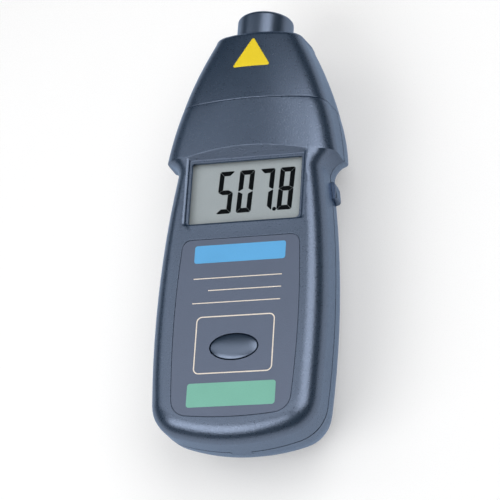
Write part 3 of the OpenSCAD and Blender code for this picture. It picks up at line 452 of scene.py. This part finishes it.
patch_outline, patch_y = round_triangle(PATCH_APEX_Y, PATCH_BASE_Y, PATCH_HALF, PATCH_R)
patch_points = divided(patch_outline, PATCH_STEP)
bm = bmesh.new()
rings = []
for size, lift in PATCH_RINGS:
    places = [(x * size, patch_y + (y - patch_y) * size) for x, y in patch_points]
    rings.append([vert(bm, x, y, nose_z(x, y) + lift) for x, y in places])
for a, b in zip(rings, rings[1:]):
    join_loops(bm, a, b)
tip = vert(bm, 0, patch_y, nose_z(0, patch_y) + PATCH_T)
base = vert(bm, 0, patch_y, nose_z(0, patch_y) - PATCH_SINK)
for i in range(len(patch_points)):
    k = (i + 1) % len(patch_points)
    bm.faces.new((rings[-1][i], rings[-1][k], tip))
    bm.faces.new((rings[0][k], rings[0][i], base))
smooth(add_piece("nose_patch", bm, yellow_mat, "case").data)


# Floor: pale, a little aglow to camera, glossy and transmitted rays, with a painted falloff of light that
# makes it darker away from the part

FLOOR_RADIUS, FLOOR_Z = 6, -0.0001
FLOOR_GLOW = 0.26
# where the painted falloff of light on the floor begins and ends, and how much of the floor's colour is
# left beyond it
PAINTED_FALLOFF_FROM, PAINTED_FALLOFF_TO, PAINTED_FALLOFF_LEFT = 0.12, 0.45, 0.42

floor_mat = finish("pale_floor", srgb(226, 226, 226), 0.9, spread=0.004, cloud=6, relief=0.0005,
                   specular=0.1)
tree = floor_mat.node_tree
floor_bsdf = next(n for n in tree.nodes if n.type == "BSDF_PRINCIPLED")
floor_coords = next(n for n in tree.nodes if n.type == "TEX_COORD")

rays = add_node(tree, "LightPath")
seen = rays.outputs["Is Camera Ray"]
for kind in ("Is Glossy Ray", "Is Transmission Ray"):
    either = add_node(tree, "Math")
    either.operation = "MAXIMUM"
    tree.links.new(seen, either.inputs[0])
    tree.links.new(rays.outputs[kind], either.inputs[1])
    seen = either.outputs["Value"]
glow = add_node(tree, "Math", {1: FLOOR_GLOW})
glow.operation = "MULTIPLY"
tree.links.new(seen, glow.inputs[0])
floor_bsdf.inputs["Emission Color"].default_value = (1, 1, 1, 1)
tree.links.new(glow.outputs["Value"], floor_bsdf.inputs["Emission Strength"])

# The floor's colour darkens with distance from the part: a pool of light painted around the part
reach = add_node(tree, "VectorMath")
reach.operation = "LENGTH"
tree.links.new(floor_coords.outputs["Object"], reach.inputs[0])
painted_falloff = add_node(tree, "MapRange", {
    "From Min": PAINTED_FALLOFF_FROM, "From Max": PAINTED_FALLOFF_TO, "To Min": 1.0, "To Max": PAINTED_FALLOFF_LEFT,
})
painted_falloff.interpolation_type = "SMOOTHSTEP"
tree.links.new(reach.outputs["Value"], painted_falloff.inputs["Value"])
floor_colour = floor_bsdf.inputs["Base Color"].links[0].from_socket
painted_falloff_colour = multiplied(tree, floor_colour, painted_falloff.outputs["Result"], 1.0)
tree.links.new(painted_falloff_colour, floor_bsdf.inputs["Base Color"])

bm = bmesh.new()
bm.faces.new([bm.verts.new((x, y, 0)) for x, y in arc_points(0, 0, FLOOR_RADIUS, 0, 355, 71)])
floor_mesh = bpy.data.meshes.new("floor")
bm.to_mesh(floor_mesh)
bm.free()
floor_mesh.materials.append(floor_mat)
floor = bpy.data.objects.new("floor", floor_mesh)
floor.location.z = FLOOR_Z
scene.collection.objects.link(floor)


# Light

SKY_STOPS = ((0.0, 0.22), (0.05, 0.16), (0.14, 0.05), (0.5, 0.05), (0.75, 0.12),
             (1.0, 0.3))  # how far up, and how bright
SKY_BLUE = 1.01
LAMP_DISTANCE = 0.9

world = bpy.data.worlds.new("studio")
scene.world = world
world.use_nodes = True
sky = world.node_tree
sky.nodes.clear()
sky_out = add_node(sky, "OutputWorld")
sky_back = add_node(sky, "Background")
sky_coords = add_node(sky, "TexCoord")
sky_axes = add_node(sky, "SeparateXYZ")
sky_ramp = add_node(sky, "ValToRGB")
stops = sky_ramp.color_ramp.elements
while len(stops) < len(SKY_STOPS):
    stops.new(0.5)
for stop, (at, level) in zip(stops, SKY_STOPS):
    stop.position = at
    stop.color = (level, level, level * SKY_BLUE, 1)
sky.links.new(sky_coords.outputs["Generated"], sky_axes.inputs["Vector"])
sky.links.new(sky_axes.outputs["Z"], sky_ramp.inputs["Fac"])
sky.links.new(sky_ramp.outputs["Color"], sky_back.inputs["Color"])
sky.links.new(sky_back.outputs["Background"], sky_out.inputs["Surface"])


def softbox(name, towards, across, deep, power):
    """Soft lamp over the part, in the direction towards, that faces the origin; across and deep are its
    width and height in metres."""
    lamp = bpy.data.lights.new(name, "AREA")
    lamp.shape = "RECTANGLE"
    lamp.size = across
    lamp.size_y = deep
    lamp.energy = power
    obj = bpy.data.objects.new(name, lamp)
    obj.location = Vector(towards).normalized() * LAMP_DISTANCE
    obj.rotation_mode = "QUATERNION"
    obj.rotation_quaternion = (-obj.location).to_track_quat("-Z", "Y")
    scene.collection.objects.link(obj)


softbox("softbox_right", (0.46, 0.17, 1.0), 0.96, 0.62, 4.8)
softbox("softbox_front", (-0.5, -0.69, 1.0), 0.7, 0.54, 3.8)
softbox("softbox_left", (-0.56, 0.22, 1.0), 0.44, 1.16, 1.8)

scene.view_settings.view_transform = "Standard"
